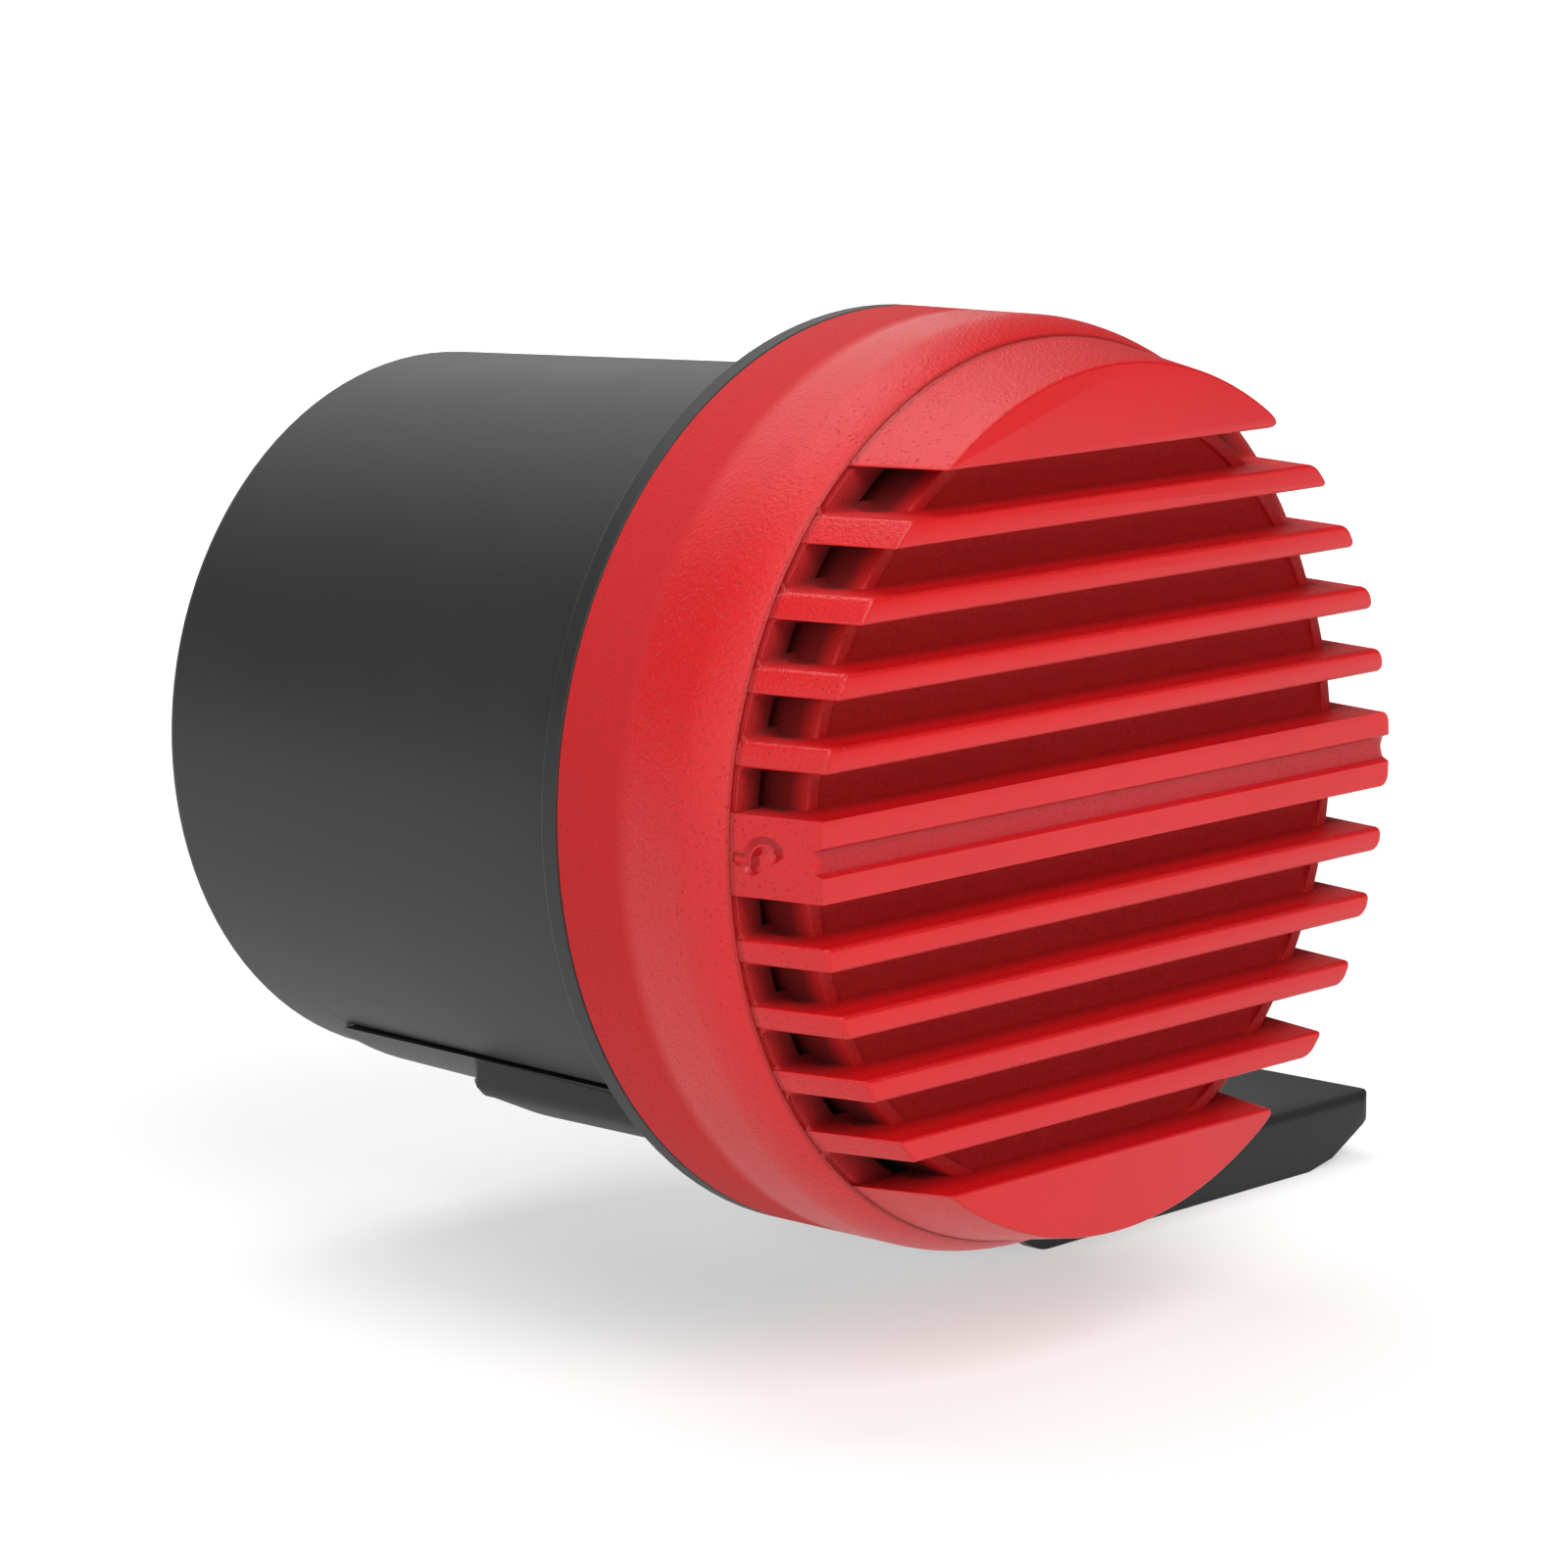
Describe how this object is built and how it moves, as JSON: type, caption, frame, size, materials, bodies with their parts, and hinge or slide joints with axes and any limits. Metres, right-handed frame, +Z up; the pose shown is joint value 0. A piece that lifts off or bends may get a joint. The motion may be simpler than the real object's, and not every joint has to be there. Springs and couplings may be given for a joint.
{
  "type": "reversing beeper",
  "caption": "Round reversing alarm: red slotted grille cap on a black cup housing, with rear terminal studs and a black mounting bracket with one ear.",
  "frame": {"origin": "axis of the ear's bolt hole, on the surface under the foot", "axes": "+Z up along the bolt hole, -Y towards the grille, +X towards the free end of the ear"},
  "size_m": [0.1081, 0.093, 0.0841],
  "materials": {
    "red_plastic": "satin moulded red plastic with a fine spark-eroded grain",
    "screen_mesh": "fine woven dust screen",
    "foam": "closed-cell foam",
    "frame_plastic": "matt moulded plastic",
    "rubber": "matt rubber",
    "cone_film": "pressed film",
    "spider_cloth": "resin-stiffened cloth",
    "copper": "enamelled copper wire",
    "plated_steel": "plated steel",
    "ferrite": "ground ferrite",
    "phenolic": "phenolic strip",
    "housing_black": "matt moulded black plastic with a fine grain",
    "board_green": "solder mask",
    "zinc_steel": "bright zinc plate",
    "capacitor_sleeve": "shrunk sleeve",
    "package_black": "moulded package",
    "resistor_body": "lacquered",
    "lead_insulation": "insulated wire",
    "bracket_black": "matt glass-filled plastic"
  },
  "bodies": {
    "root": {"grille_cap": "red_plastic", "dust_screen": "screen_mesh", "driver_gasket": "foam", "driver_frame": "frame_plastic", "surround": "rubber", "cone_diaphragm": "cone_film", "dust_cap": "cone_film", "spider": "spider_cloth", "voice_coil": "copper", "top_plate": "plated_steel", "magnet": "ferrite", "back_plate": "plated_steel", "terminal_strip": "phenolic", "driver_leads": "copper", "housing": "housing_black", "cap_seal": "rubber", "circuit_board": "board_green", "board_screws": "zinc_steel", "capacitors": "capacitor_sleeve", "choke_coil": "copper", "power_transistor": "package_black", "controller_chip": "package_black", "resistors": "resistor_body", "positive_stud": "zinc_steel", "negative_stud": "zinc_steel", "stud_seals": "rubber", "power_leads": "lead_insulation", "terminal_washers": "zinc_steel", "clamp_nuts": "zinc_steel", "lock_washers": "zinc_steel", "cable_nuts": "zinc_steel", "mounting_bracket": "bracket_black", "bracket_screws": "zinc_steel", "mount_bush": "zinc_steel"}
  },
  "joints": []
}
